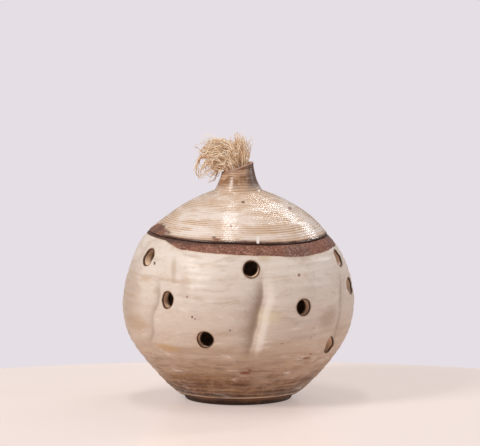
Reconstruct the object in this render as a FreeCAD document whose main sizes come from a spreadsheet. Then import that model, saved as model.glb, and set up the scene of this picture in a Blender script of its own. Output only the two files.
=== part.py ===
import FreeCAD, Part
import math
import os
import Sketcher

# Garlic keeper: a round thrown pot with a wall parted into cloves, a domed lid with a hollow neck,
# and a tuft of fibre glued in the neck. Millimetres, +Z up. The origin is at the middle of the foot,
# on the table. The front is -Y, and angles are counted from the front towards +X.

doc = FreeCAD.newDocument("garlic_keeper")

# Driving dimensions: name, value, what it is

SIZES = [
    ("belly_radius", 65.2, "widest radius of the pot, on a clove's crest"),
    ("belly_height", 54.0, "height of the widest place"),
    ("rim_radius", 50.7, "outer radius of the pot at its rim"),
    ("rim_height", 93.5, "height of the flat rim that the lid rests on"),
    ("bowl_curve", 44.6, "radius of the curve just under the belly"),
    ("bowl_curve_end", 28.0, "height where that curve passes into the flatter bowl"),
    ("foot_radius", 30.0, "radius of the foot on the table"),
    ("foot_height", 4.8, "height of the turned foot, where the bowl's skin starts"),
    ("foot_taper", 1.2, "how much wider the foot is at its top than on the table"),
    ("foot_ring", 4.5, "width of the turned foot ring"),
    ("foot_recess", 1.8, "depth of the turned recess inside the ring"),
    ("pot_wall", 5.5, "thickness of the pot's wall"),
    ("pot_floor", 7.0, "thickness of the pot's floor"),
    ("clove_count", 6, "valleys round the pot"),
    ("valley_depth", 3.4, "depth of a valley between two cloves"),
    ("valley_width", 12.0, "half the width of a valley, in degrees"),
    ("valley_angle", 12.5, "angle of the front valley, in degrees"),
    ("valley_lean", 7.0, "how far a valley's lower end leans back, in degrees"),
    ("valley_low", 27.0, "height where a valley starts"),
    ("valley_high", 90.0, "height where a valley has faded out"),
    ("vent_bore", 9.4, "diameter of a vent"),
    ("lid_gap", 0.3, "gap between rim and lid"),
    ("lid_setback", 0.3, "how far the lid's edge stays inside the rim's outer edge"),
    ("lid_wall", 5.5, "thickness of the dome"),
    ("dome_curve", 89.0, "radius of the dome's curve"),
    ("shoulder_radius", 13.6, "radius where the dome meets the neck"),
    ("shoulder_rise", 23.9, "height of that place over the rim"),
    ("neck_radius", 8.6, "outer radius of the neck at its top"),
    ("neck_rise", 37.5, "height of the middle of the neck's slanted top over the rim"),
    ("neck_slant", 18.0, "slant of the neck's top, in degrees, low at -X"),
    ("neck_wall", 1.7, "thickness of the neck's wall at its top"),
    ("bore_radius", 8.0, "radius of the neck's bore at its lower end"),
    ("flange_depth", 7.0, "how far the locating flange reaches below the lid's seat"),
    ("flange_wall", 4.0, "thickness of the flange"),
    ("flange_clearance", 1.0, "gap between flange and mouth, all round"),
    ("edge_round", 0.9, "rounding of the lid's edges"),
    ("glue_drop", 10.0, "depth of the glue's top below the middle of the neck's top"),
    ("glue_depth", 5.0, "thickness of the glue plug"),
    ("glue_gap", 0.1, "gap left round the glue plug"),
    ("shank_radius", 5.6, "radius of the bundle of fibres in the neck"),
    ("shank_shift", 0.8, "how far the bundle lies off the axis, towards -X"),
]

# Vents, placed by hand in three rows. Each row has the size that its heights are counted from, and
# for each vent the angle from the front in degrees and its height over that size

VENT_ROWS = {
    "rim_height": [(7.1, -13.3), (75.0, -12.5), (134.0, -11.5), (192.0, -14.0), (247.0, -11.5), (300.0, -10.2)],
    "belly_height": [(34.0, 4.5), (81.5, 10.7), (140.0, 3.5), (200.0, 7.0), (258.0, 3.0), (321.5, 8.1)],
    "bowl_curve_end": [(58.5, 6.3), (120.0, 9.0), (172.0, 6.0), (228.0, 11.0), (272.0, 4.5), (343.0, 13.4)],
}

# A valley fades out over these shares of its height at its low and high end, and its lean over a third

LOW_FADE = 0.3
HIGH_FADE = 0.5
LEAN_FADE = 0.6

# The neck's bore tapers evenly up to this share of the neck's rise, past its slanted top

BORE_REACH = 1.2

# Rings that the wall's skins are drawn over, and bands of the dome and the neck

OUTER_RINGS = 14
INNER_RINGS = 10
DOME_BANDS = 9
NECK_BANDS = 5
CURVE_POINTS = 48
SEAM_ANGLE = 102.0

# Locks of fibre: places along each lock from the middle of the neck's top, and its radius there

UPRIGHT_LOCK = [(1.9, 0.0, 0, 2.6), (1.9, 5.0, 0, 3.1), (1.0, 11.0, -6, 3.3), (0.2, 19.0, -6, 1.6)]
DROOPING_LOCK = [
    (-3.7, 0.0, 0, 2.2), (-5.2, 2.6, -30, 3.0), (-8.2, 5.4, -60, 5.6),
    (-13.0, 6.0, -95, 5.4), (-17.4, 4.4, -120, 3.2), (-19.6, 2.6, -130, 1.4),
]
CURLED_LOCK = [
    (-19.9, 2.3, -130, 0.9), (-22.3, 0.9, -140, 0.8), (-23.4, -2.0, -180, 0.8),
    (-22.2, -5.0, -230, 0.7), (-19.6, -5.6, -280, 0.6),
]

sheet = doc.addObject("Spreadsheet::Sheet", "Sizes")
for row, (name, value, note) in enumerate(SIZES, start=1):
    sheet.set(f"A{row}", name)
    sheet.set(f"B{row}", str(value))
    sheet.set(f"C{row}", note)
    sheet.setAlias(f"B{row}", name)
doc.recompute()


def size(name):
    return float(sheet.get(name))


# Helpers for sketches, edges and rings

def origin_plane(body, role):
    return next(item for item in body.Origin.OriginFeatures if item.Role == role)


def new_sketch(body, name, role="XY_Plane"):
    sketch = body.newObject("Sketcher::SketchObject", name)
    sketch.AttachmentSupport = [(origin_plane(body, role), "")]
    sketch.MapMode = "FlatFace"
    return sketch


def circle_sketch(body, name, radius):
    """A circle round the axis. radius is an expression on the sheet, or a number."""
    sketch = new_sketch(body, name)
    start = radius if isinstance(radius, float) else 10.0
    sketch.addGeometry(Part.Circle(FreeCAD.Vector(0, 0, 0), FreeCAD.Vector(0, 0, 1), start))
    sketch.addConstraint(Sketcher.Constraint("Coincident", 0, 3, -1, 1))
    index = sketch.addConstraint(Sketcher.Constraint("Radius", 0, start))
    sketch.renameConstraint(index, "ring_radius")
    if not isinstance(radius, float):
        sketch.setExpression("Constraints.ring_radius", radius)
    return sketch


def skin(body, kind, name, sections, straight):
    loft = body.newObject(kind, name)
    loft.Profile = sections[0]
    loft.Sections = sections[1:]
    loft.Ruled = straight
    return loft


def turned(body, kind, name, low, bottom_radius, height, top_radius):
    """A turned solid or hollow about the axis; every size is an expression on the sheet."""
    solid = body.newObject(kind, name)
    solid.setExpression("Placement.Base.z", low)
    solid.setExpression("Radius1", bottom_radius)
    solid.setExpression("Radius2", top_radius)
    solid.setExpression("Height", height)
    return solid


# Pot: the wall's outline is three arcs that run smoothly into each other, and valleys part it

def shoulder_centre():
    rise = size("rim_height") - size("belly_height")
    belly = size("belly_radius")
    rim = size("rim_radius")
    return (belly ** 2 - rim ** 2 - rise ** 2) / (2 * (belly - rim))


def wall_radius(height, inset):
    belly = size("belly_radius")
    middle = size("belly_height")
    if height >= middle:
        curve = belly - shoulder_centre() - inset
        return shoulder_centre() + math.sqrt(curve ** 2 - (height - middle) ** 2)
    bowl = size("bowl_curve")
    drop = middle - size("bowl_curve_end")
    sine = drop / bowl
    cosine = math.sqrt(1 - sine ** 2)
    if middle - height <= (bowl - inset) * sine:
        return belly - bowl + math.sqrt((bowl - inset) ** 2 - (middle - height) ** 2)
    start_radius = belly - bowl + bowl * cosine
    start_height = middle - drop
    across = start_radius - size("foot_radius")
    flat_curve = (across ** 2 + start_height ** 2) / (2 * (across * cosine - start_height * sine))
    centre_radius = start_radius - flat_curve * cosine
    centre_height = start_height + flat_curve * sine
    return centre_radius + math.sqrt((flat_curve - inset) ** 2 - (height - centre_height) ** 2)


def ease(share):
    share = min(1.0, max(0.0, share))
    return share * share * (3 - 2 * share)


def valley_depth_at(angle, height):
    low = size("valley_low")
    span = size("valley_high") - low
    fade = ease((height - low) / (LOW_FADE * span)) * ease((low + span - height) / (HIGH_FADE * span))
    lean = size("valley_lean") * (1 - ease((height - low) / (LEAN_FADE * span)))
    spacing = 360 / size("clove_count")
    aside = (angle - size("valley_angle") + lean + spacing / 2) % spacing - spacing / 2
    return size("valley_depth") * fade * math.exp(-(aside / size("valley_width")) ** 2)


def clove_outline(height, inset):
    points = []
    for number in range(CURVE_POINTS):
        angle = SEAM_ANGLE + 360 * number / CURVE_POINTS
        radius = wall_radius(height, inset) - valley_depth_at(angle, height)
        turn = math.radians(angle)
        points.append(FreeCAD.Vector(radius * math.sin(turn), -radius * math.cos(turn), 0))
    outline = Part.BSplineCurve()
    outline.interpolate(Points=points, PeriodicFlag=True)
    return outline


def clove_skin(body, kind, name, low_expression, low, steps, inset):
    rim = size("rim_height")
    sections = []
    for number in range(steps + 1):
        share = number / steps
        sketch = new_sketch(body, f"{name}_ring_{number}")
        sketch.addGeometry(clove_outline(low + (rim - low) * share, inset))
        rise = f"{low_expression} + (Sizes.rim_height - {low_expression}) * {share}"
        sketch.setExpression("AttachmentOffset.Base.z", rise)
        sections.append(sketch)
    return skin(body, kind, name, sections, False)


def vent_cutter(row, number, angle, over):
    """A cylinder that points outwards and starts well inside the hollow."""
    cutter = doc.addObject("Part::Cylinder", f"vent_cutter_{row}_{number}")
    cutter.setExpression("Radius", "Sizes.vent_bore / 2")
    cutter.setExpression("Height", "Sizes.belly_radius")
    turn = FreeCAD.Rotation(FreeCAD.Vector(0, 0, 1), angle)
    lay_flat = FreeCAD.Rotation(FreeCAD.Vector(1, 0, 0), 90)
    start = turn.multVec(FreeCAD.Vector(0, -size("foot_radius"), size(row) + over))
    cutter.Placement = FreeCAD.Placement(start, turn.multiply(lay_flat))
    return cutter


def make_pot():
    body = doc.addObject("PartDesign::Body", "thrown_pot")
    clove_skin(body, "PartDesign::AdditiveLoft", "wall", "Sizes.foot_height", size("foot_height"),
               OUTER_RINGS, 0.0)
    turned(body, "PartDesign::AdditiveCone", "foot", "0", "Sizes.foot_radius", "Sizes.foot_height",
           "Sizes.foot_radius + Sizes.foot_taper")
    clove_skin(body, "PartDesign::SubtractiveLoft", "hollow", "Sizes.pot_floor", size("pot_floor"),
               INNER_RINGS, size("pot_wall"))
    recess = body.newObject("PartDesign::Pocket", "foot_turning")
    recess.Profile = circle_sketch(body, "foot_outline", "Sizes.foot_radius - Sizes.foot_ring")
    recess.Reversed = True
    recess.setExpression("Length", "Sizes.foot_recess")
    cutters = doc.addObject("Part::Compound", "vent_cutters")
    cutters.Links = [vent_cutter(row, number, *place) for row, places in VENT_ROWS.items()
                     for number, place in enumerate(places, start=1)]
    pot = doc.addObject("Part::Cut", "vented_pot")
    pot.Base = body
    pot.Tool = cutters
    pot.Label = "pot"
    doc.recompute()
    return pot


# Lid: a dome that turns into a flared neck, hollow, with a flange that keeps it centred in the mouth

def arc_centre(first, second, radius):
    """Centre of the arc through two places, on the left when looking from first to second."""
    across = (second[0] - first[0], second[1] - first[1])
    chord = math.hypot(*across)
    away = math.sqrt(radius ** 2 - chord ** 2 / 4) / chord
    middle = ((first[0] + second[0]) / 2, (first[1] + second[1]) / 2)
    return (middle[0] - across[1] * away, middle[1] + across[0] * away)


def dome_centre():
    edge = (size("rim_radius") - size("lid_setback"), size("rim_height") + size("lid_gap"))
    shoulder = (size("shoulder_radius"), size("rim_height") + size("shoulder_rise"))
    return arc_centre(edge, shoulder, size("dome_curve"))


def dome_height(radius, inset):
    centre = dome_centre()
    return centre[1] + math.sqrt((size("dome_curve") - inset) ** 2 - (radius - centre[0]) ** 2)


def dome_radius(height):
    centre = dome_centre()
    return centre[0] + math.sqrt(size("dome_curve") ** 2 - (height - centre[1]) ** 2)


def neck_outline():
    """Rings of the neck: one arc from the shoulder to a top that rises straight."""
    foot = size("shoulder_radius")
    top = size("neck_radius")
    low = size("rim_height") + size("shoulder_rise")
    rise = size("neck_rise") - size("shoulder_rise")
    rise += size("neck_radius") * math.tan(math.radians(size("neck_slant")))
    curve = ((foot - top) ** 2 + rise ** 2) / (2 * (foot - top))
    rings = []
    for number in range(1, NECK_BANDS + 1):
        up = rise * number / NECK_BANDS
        rings.append((low + up, top + curve - math.sqrt(curve ** 2 - (rise - up) ** 2)))
    return rings


def dome_outline():
    edge = size("rim_radius") - size("lid_setback")
    bevel = size("edge_round")
    seat = size("rim_height") + size("lid_gap")
    shoulder = size("shoulder_radius")
    rings = [(seat, edge - bevel)]
    for number in range(DOME_BANDS + 1):
        radius = edge + (shoulder - edge) * number / DOME_BANDS
        rings.append((dome_height(radius, 0.0), radius))
    rings[1] = (seat + bevel, dome_radius(seat + bevel))
    return rings


def cut_neck_top(body):
    """Slanted cut across the neck, low at -X."""
    sketch = new_sketch(body, "slant_outline", "XZ_Plane")
    reach = 2 * size("neck_radius")
    slope = math.tan(math.radians(size("neck_slant")))
    middle = size("rim_height") + size("neck_rise")
    corners = [(-reach, middle - reach * slope), (reach, middle + reach * slope),
               (reach, middle + 2 * reach), (-reach, middle + 2 * reach)]
    places = [FreeCAD.Vector(across, up, 0) for across, up in corners]
    for number, place in enumerate(places):
        sketch.addGeometry(Part.LineSegment(place, places[(number + 1) % 4]))
    cut = body.newObject("PartDesign::Pocket", "slanted_top")
    cut.Profile = sketch
    cut.Type = "ThroughAll"
    cut.Midplane = True
    return cut


def make_lid():
    body = doc.addObject("PartDesign::Body", "thrown_lid")
    sections = []
    for number, (height, radius) in enumerate(dome_outline() + neck_outline()):
        sketch = circle_sketch(body, f"dome_ring_{number}", radius)
        sketch.AttachmentOffset = FreeCAD.Placement(FreeCAD.Vector(0, 0, height), FreeCAD.Rotation())
        sections.append(sketch)
    skin(body, "PartDesign::AdditiveLoft", "dome", sections, True)
    mouth = wall_radius(size("rim_height"), size("pot_wall"))
    flange_radius = mouth - size("flange_clearance")
    hollow_radius = flange_radius - size("flange_wall")
    low = "(Sizes.rim_height + Sizes.lid_gap - Sizes.flange_depth)"
    spring = dome_height(hollow_radius, size("lid_wall"))
    throat = dome_height(size("bore_radius"), size("lid_wall"))
    flange = body.newObject("PartDesign::AdditiveCylinder", "flange")
    flange.Radius = flange_radius
    flange.setExpression("Placement.Base.z", low)
    flange.setExpression("Height", "Sizes.flange_depth + Sizes.edge_round")
    hollow = body.newObject("PartDesign::SubtractiveCylinder", "flange_hollow")
    hollow.Radius = hollow_radius
    hollow.setExpression("Placement.Base.z", low)
    hollow.setExpression("Height", f"{spring} - {low}")
    turned(body, "PartDesign::SubtractiveCone", "dome_hollow", f"{spring}", f"{hollow_radius}",
           f"{throat} - {spring}", "Sizes.bore_radius")
    turned(body, "PartDesign::SubtractiveCone", "neck_bore", f"{throat}", "Sizes.bore_radius",
           f"Sizes.rim_height + {BORE_REACH} * Sizes.neck_rise - {throat}", "Sizes.neck_radius - Sizes.neck_wall")
    cut_neck_top(body)
    body.Label = "lid"
    doc.recompute()
    return body


# Tuft: glue in the bore, a bundle of fibres that stands on it, and the locks that the bundle ends in

def neck_middle():
    return size("rim_height") + size("neck_rise")


def bore_radius_at(height):
    throat = dome_height(size("bore_radius"), size("lid_wall"))
    top = size("rim_height") + BORE_REACH * size("neck_rise")
    lip = size("neck_radius") - size("neck_wall")
    return size("bore_radius") + (lip - size("bore_radius")) * (height - throat) / (top - throat)


def make_glue():
    top = neck_middle() - size("glue_drop")
    low = top - size("glue_depth")
    glue = doc.addObject("Part::Cone", "glue_plug")
    glue.Radius1 = bore_radius_at(low) - size("glue_gap")
    glue.Radius2 = bore_radius_at(top) - size("glue_gap")
    glue.setExpression("Height", "Sizes.glue_depth")
    glue.setExpression("Placement.Base.z",
                       "Sizes.rim_height + Sizes.neck_rise - Sizes.glue_drop - Sizes.glue_depth")
    return glue


def make_shank():
    shank = doc.addObject("Part::Cylinder", "tuft_shank")
    shank.setExpression("Radius", "Sizes.shank_radius")
    shank.setExpression("Height", "Sizes.glue_drop")
    shank.setExpression("Placement.Base.x", "-Sizes.shank_shift")
    shank.setExpression("Placement.Base.z", "Sizes.rim_height + Sizes.neck_rise - Sizes.glue_drop")
    return shank


def make_lock(name, places):
    """A soft lock as a ruled skin over rings; each place is x, height, tilt in degrees and radius."""
    rings = []
    for number, (across, up, tilt, radius) in enumerate(places):
        ring = doc.addObject("Part::Circle", f"{name}_ring_{number}")
        ring.Radius = radius
        lean = FreeCAD.Rotation(FreeCAD.Vector(0, 1, 0), tilt)
        ring.Placement = FreeCAD.Placement(FreeCAD.Vector(across, 0, neck_middle() + up), lean)
        rings.append(ring)
    lock = doc.addObject("Part::Loft", name)
    lock.Sections = rings
    lock.Solid = True
    lock.Ruled = True
    return lock


parts = [
    make_pot(),
    make_lid(),
    make_glue(),
    make_shank(),
    make_lock("upright_lock", UPRIGHT_LOCK),
    make_lock("drooping_lock", DROOPING_LOCK),
    make_lock("curled_lock", CURLED_LOCK),
]
doc.recompute()

# Nothing is written unless every feature and every solid is sound

for item in doc.Objects:
    if "Invalid" in item.State or "Error" in item.State:
        raise RuntimeError(f"{item.Name} could not be made")
for piece in parts:
    if piece.Shape.isNull() or not piece.Shape.isValid() or len(piece.Shape.Solids) != 1:
        raise RuntimeError(f"{piece.Label} is not one sound solid")

os.makedirs("parts", exist_ok=True)
for piece in parts:
    piece.Shape.exportStep(f"parts/{piece.Label}.step")
    print(piece.Label, round(piece.Shape.Volume), "cubic mm")
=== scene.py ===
import bpy
import math
import random
from mathutils import Matrix, Vector, noise


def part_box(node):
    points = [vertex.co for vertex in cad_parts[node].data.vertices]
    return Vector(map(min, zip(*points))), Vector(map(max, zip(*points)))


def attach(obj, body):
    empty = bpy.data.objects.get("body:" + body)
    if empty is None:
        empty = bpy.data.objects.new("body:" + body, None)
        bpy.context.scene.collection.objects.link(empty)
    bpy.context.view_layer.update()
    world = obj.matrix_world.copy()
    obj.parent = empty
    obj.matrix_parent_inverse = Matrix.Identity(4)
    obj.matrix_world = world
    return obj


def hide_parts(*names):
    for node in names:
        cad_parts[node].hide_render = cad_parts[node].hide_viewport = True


# Garlic keeper: a thrown stoneware pot pressed into cloves, a domed lid with a hollow neck, and a
# tuft of plant fibre glued in the neck. Shapes are worked out in millimetres, then made in metres.
# Angles are in degrees, counted from the front (-Y) towards the right (+X).

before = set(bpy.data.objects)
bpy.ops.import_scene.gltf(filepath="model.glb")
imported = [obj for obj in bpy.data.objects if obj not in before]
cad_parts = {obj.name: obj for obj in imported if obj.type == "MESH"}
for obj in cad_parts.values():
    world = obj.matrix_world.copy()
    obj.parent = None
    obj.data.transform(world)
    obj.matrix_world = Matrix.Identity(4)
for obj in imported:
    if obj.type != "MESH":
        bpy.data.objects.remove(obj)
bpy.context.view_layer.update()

MM = 0.001
POT_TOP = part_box("pot")[1].z / MM
LID_SEAT = POT_TOP + 0.3

# Pot: outline in three arcs that run into each other, from the foot to the rim

BELLY_RADIUS = 65.2
BELLY_HEIGHT = 54.0
RIM_RADIUS = 50.7
BOWL_CURVE = 44.6
BOWL_END = 28.0
FOOT_RADIUS = 30.0
POT_WALL = 5.5
POT_FLOOR = 7.0
FOOT_RING = 4.5
FOOT_RECESS = 1.8
FOOT_TOP = 5.6
RIM_ROUND = 1.1
VENT_RADIUS = 4.25
VENT_ROUND = 0.5

VENTS = [
    (7.1, 80.2), (75.0, 81.0), (134.0, 82.0), (192.0, 79.5), (247.0, 82.0), (300.0, 83.3),
    (34.0, 58.5), (81.5, 64.7), (140.0, 57.5), (200.0, 61.0), (258.0, 57.0), (321.5, 62.1),
    (58.5, 34.3), (120.0, 37.0), (172.0, 34.0), (228.0, 39.0), (272.0, 32.5), (343.0, 41.4),
]

# Valleys between the cloves: places (height, angle) down each one, depth, and the width of its left
# and right flank in degrees. A small sharpness gives a soft hollow, a large one a crease.

VALLEYS = [
    ([(34, 5.5), (41, 7.0), (53, 9.5), (66, 12.5), (84, 13.0)], 4.8, 14.0, 7.0, 1.15),
    ([(34, 63.0), (53, 68.0), (84, 72.5)], 3.8, 12.0, 10.0, 1.6),
    ([(34, 124.0), (53, 129.0), (84, 133.0)], 3.5, 9.0, 12.0, 1.3),
    ([(34, 185.0), (53, 189.0), (84, 192.0)], 3.3, 12.0, 9.0, 1.6),
    ([(34, 246.0), (53, 250.0), (84, 253.0)], 3.4, 10.0, 12.0, 1.4),
    ([(34, 307.0), (50, 310.0), (61, 314.5), (84, 314.0)], 3.3, 11.0, 10.0, 1.6),
]
VALLEY_LOW = 27.0
VALLEY_HIGH = 90.0

# Soft hollows and bulges of the right front clove: angle, half-width in degrees, height, half-height, rise

HAND_MARKS = [(44.5, 15.5 / 1.1, 54.5, 11.5, -1.6), (40, 11, 71, 7, 0.9), (48, 16, 60, 6, 0.8)]
TURNING_HEIGHT = 0.085
TRIM_HEIGHT = 0.10
TRIM_TOP = 24.0
WAVE_START = 76.0
WAVE_FADE = 16.0

# Lid: dome arc, neck arc, slanted lip

LID_RADIUS = 50.4
DOME_CURVE = 89.0
SHOULDER_RADIUS = 13.6
SHOULDER_HEIGHT = 117.4
NECK_RADIUS = 8.6
NECK_MIDDLE = 131.0
NECK_SLOPE = math.tan(math.radians(18.0))
NECK_WALL = 1.7
BORE_RADIUS = 8.0
LID_WALL = 5.5
FLANGE_RADIUS = 42.2
FLANGE_WALL = 4.0
FLANGE_DEPTH = 7.0
THROWING_PITCH = 1.5


def ease(share):
    share = min(1.0, max(0.0, share))
    return share * share * (3 - 2 * share)


def bell(distance, width):
    return math.exp(-(distance / width) ** 2)


def turned_by(angle, start):
    """How far angle lies past start, from -180 to 180 degrees."""
    return (angle - start + 180) % 360 - 180


def along(places, height):
    """The angle at a height, smoothly between places given as (height, angle)."""
    if height <= places[0][0]:
        return places[0][1]
    for (low, first), (high, second) in zip(places, places[1:]):
        if height <= high:
            return first + (second - first) * ease((height - low) / (high - low))
    return places[-1][1]


def polar(angle, radius, height):
    turn = math.radians(angle)
    return Vector((radius * math.sin(turn), -radius * math.cos(turn), height))


def seam_wave(angle):
    """How far the rim, and the lid's edge with it, leaves its plane."""
    tilt = -0.0214 * RIM_RADIUS * math.sin(math.radians(angle))
    return tilt - 0.6 * bell(turned_by(angle, -31), 25) - 1.2 * bell(turned_by(angle, 32), 30)


class Shell:
    """A mesh in the making: places in millimetres, faces, and named values at each place."""

    def __init__(self, name, values):
        self.name = name
        self.places = []
        self.faces = []
        self.values = {value: [] for value in values}

    def add(self, place, **values):
        self.places.append(place)
        for name, column in self.values.items():
            column.append(values.get(name, 0.0))
        return len(self.places) - 1

    def band(self, first, second):
        """Quads between two rings of as many places; they face out where first lies below second."""
        for number, place in enumerate(first):
            after = (number + 1) % len(first)
            self.faces.append((place, first[after], second[after], second[number]))

    def half_band(self, many, few):
        """Faces between a ring and one with half as many places."""
        for number, place in enumerate(few):
            after = few[(number + 1) % len(few)]
            left, middle, right = (many[(2 * number + step) % len(many)] for step in range(3))
            self.faces += [(left, middle, place), (middle, after, place), (middle, right, after)]

    def fan(self, ring, middle):
        for number, place in enumerate(ring):
            self.faces.append((place, ring[(number + 1) % len(ring)], middle))

    def finish(self, material):
        mesh = bpy.data.meshes.new(self.name)
        mesh.from_pydata([place * MM for place in self.places], [], self.faces)
        for name, column in self.values.items():
            attribute = mesh.attributes.new(name, "FLOAT", "POINT")
            attribute.data.foreach_set("value", column)
        mesh.polygons.foreach_set("use_smooth", [True] * len(mesh.polygons))
        mesh.materials.append(material)
        mesh.validate()
        mesh.update()
        return placed(self.name, mesh)


def placed(name, data):
    """An object in the scene, at the origin."""
    piece = bpy.data.objects.new(name, data)
    bpy.context.scene.collection.objects.link(piece)
    return piece


# Pot: outline

def pot_arcs():
    """Centre, radius, first and last angle of each arc of the outline, from the foot upwards."""
    rise = POT_TOP - BELLY_HEIGHT
    shoulder = (BELLY_RADIUS ** 2 - RIM_RADIUS ** 2 - rise ** 2) / (2 * (BELLY_RADIUS - RIM_RADIUS))
    curve = BELLY_RADIUS - shoulder
    tilt = math.asin((BELLY_HEIGHT - BOWL_END) / BOWL_CURVE)
    start = BELLY_RADIUS - BOWL_CURVE * (1 - math.cos(tilt))
    across = start - FOOT_RADIUS
    bowl = (across ** 2 + BOWL_END ** 2) / (2 * (across * math.cos(tilt) - BOWL_END * math.sin(tilt)))
    middle = (start - bowl * math.cos(tilt), BOWL_END + bowl * math.sin(tilt))
    foot_tilt = math.atan2(-middle[1], FOOT_RADIUS - middle[0])
    return [
        (middle, bowl, foot_tilt, -tilt),
        ((BELLY_RADIUS - BOWL_CURVE, BELLY_HEIGHT), BOWL_CURVE, -tilt, 0.0),
        ((shoulder, BELLY_HEIGHT), curve, 0.0, math.asin(rise / curve)),
    ]


POT_ARCS = pot_arcs()


def outline(travel, inset):
    """Radius, height and outward direction at a distance along the outer outline from the foot."""
    for number, (middle, curve, first, last) in enumerate(POT_ARCS):
        length = curve * (last - first)
        if travel <= length or number == len(POT_ARCS) - 1:
            tilt = first + travel / curve
            across, up = math.cos(tilt), math.sin(tilt)
            return middle[0] + (curve - inset) * across, middle[1] + (curve - inset) * up, across, up
        travel -= length


def travel_at(height, inset):
    low, high = -5.0, 150.0
    for _ in range(40):
        middle = (low + high) / 2
        if outline(middle, inset)[1] < height:
            low = middle
        else:
            high = middle
    return (low + high) / 2


# Pot: relief of the hand-pressed wall

def valley_depth(angle, height):
    fade = ease((height - VALLEY_LOW) / 19) * ease((VALLEY_HIGH - height) / 31)
    depth = 0.0
    for places, deepest, left, right, power in VALLEYS:
        aside = turned_by(angle, along(places, height))
        width = left if aside < 0 else right
        depth += deepest * math.exp(-(abs(aside) / width) ** power)
    return depth * fade


def crease(angle, height):
    """1 along the bottom of a sharp valley, where it gets painted shade, and below 0 on its right flank,
    where it gets a painted highlight.
    """
    fade = ease((height - VALLEY_LOW) / 14) * ease((VALLEY_HIGH - 4 - height) / 24)
    share = 0.0
    for places, _, left, right, power in VALLEYS:
        aside = turned_by(angle, along(places, height))
        sharp = ease((2.0 - power) / 0.7)
        share += sharp * math.exp(-abs(aside) / (0.42 * left if aside < 0 else 0.2 * right))
        share -= 0.9 * sharp ** 3 * bell(aside - 0.6 * right, 0.32 * right)
    return share * fade


def ledges(angle, height):
    """Small steps where the cloves were pressed off above the turned bowl."""
    left = ease(angle_window(angle, -34, 27))
    right = ease(angle_window(angle, 22, 17))
    step = 33.0 + 1.2 * math.sin(math.radians(3 * angle + 40))
    over = height - step
    bulge = ease(over / 1.4 + 0.5) * math.exp(-max(over, 0) / 12)
    ridge = bell(height - 36.8, 1.5) - 0.7 * bell(height - 41.0, 2.2) - 0.5 * bell(height - 32.3, 1.2)
    second = ease((height - 38.6) / 1.2 + 0.5) * math.exp(-max(height - 38.6, 0) / 9)
    around = 0.5 + 0.5 * math.sin(math.radians(5 * angle + 160))
    return left * ridge + right * (0.9 * bulge + 0.5 * second) + 0.35 * around * bulge


def angle_window(angle, middle, half):
    """1 inside a sector, falling to 0 over 8 degrees past its ends."""
    return (half + 8 - abs(turned_by(angle, middle))) / 8


def relief(angle, height):
    """How far the outer skin stands out from the plain outline."""
    out = ledges(angle, height) - valley_depth(angle, height)
    for side, wide, level, tall, rise in HAND_MARKS:
        out += rise * bell(turned_by(angle, side), wide) * bell(height - level, tall)
    out += 0.45 * noise.noise(polar(angle, 2.2, height / 21))
    out += 0.22 * noise.noise(polar(angle, 5, height / 6 + 9))
    rings = math.sin(height * 1.55 + 1.3 * noise.noise(polar(angle, 1.7, height / 16)))
    rings += 0.6 * math.sin(height * 0.93 + 1.0)
    out += TURNING_HEIGHT * rings
    trimmed = ease((TRIM_TOP - height) / 6)
    out += TRIM_HEIGHT * trimmed * math.sin(height * 2.9 + 0.8 * noise.noise(polar(angle, 2, 3.0)))
    return out


def wave_at(angle, height):
    return seam_wave(angle) * ease((height - WAVE_START) / WAVE_FADE)


def settled(radius, level, out, across, up, angle):
    """A place on a skin, raised with the rim's wave near the top."""
    return radius + out * across, level + out * up + wave_at(angle, level)


def outer_place(angle, travel, sunk=0.0):
    radius, level, across, up = outline(travel, 0.0)
    return settled(radius, level, relief(angle, level) - sunk, across, up, angle)


def inner_place(angle, travel, sunk=0.0):
    radius, level, across, up = outline(travel, POT_WALL)
    out = sunk - 0.9 * valley_depth(angle, level) - 0.12 * math.sin(level * 1.1)
    return settled(radius, level, out, across, up, angle)


def aim(skin, inset, vent, across, up):
    """Angle and travel where a skin passes a place beside and above a vent's axis."""
    angle, height = vent
    turned, travel = angle, travel_at(height + up, inset)
    for _ in range(4):
        radius, level = skin(turned, travel)
        turned = angle + math.degrees(math.asin(across / radius))
        travel += height + up - level
    return turned, travel


# Glaze line under the rim, as (angle, height) places that the bare band of clay ends at

GLAZE_LINE = [(-180, 89.5), (-120, 91.0), (-77, 94.0), (-54, 92.4), (-34, 89.4), (-15, 88.5), (13, 87.9),
              (43, 86.6), (67, 87.3), (110, 88.6), (180, 89.5)]


def glaze_line(angle):
    return along(GLAZE_LINE, turned_by(angle, 0))


COLUMNS = 400
INNER_COLUMNS = 200
ROW = 1.0
INNER_ROW = 2.0
VENT_CELLS = 16
VENT_RINGS = [6.2, 5.8, 5.4, 5.1, 4.85, 4.7, 4.5, 4.33, VENT_RADIUS]
BLEND_REACH = 7.5
BLEND_SHARE = 0.55
VENT_SWELL = 0.12
FAR = 20.0


def vent_cells(column, row, cells):
    """Grid corners round a square of cells, from its lower left corner to the right and round."""
    steps = range(cells)
    edge = [(column + n, row) for n in steps]
    edge += [(column + cells, row + n) for n in steps]
    edge += [(column + cells - n, row + cells) for n in steps]
    return edge + [(column, row + cells - n) for n in steps]


def vent_sunk(reach, outward):
    """How far the skin lies under its own level at a distance from a vent's axis."""
    rounding = VENT_ROUND if outward else VENT_ROUND * 0.6
    near = VENT_RADIUS + rounding - reach
    sunk = rounding - math.sqrt(max(rounding ** 2 - near ** 2, 0.0)) if near > 0 else 0.0
    return sunk - VENT_SWELL * bell(reach - 6.0, 0.35) if outward else sunk


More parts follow.
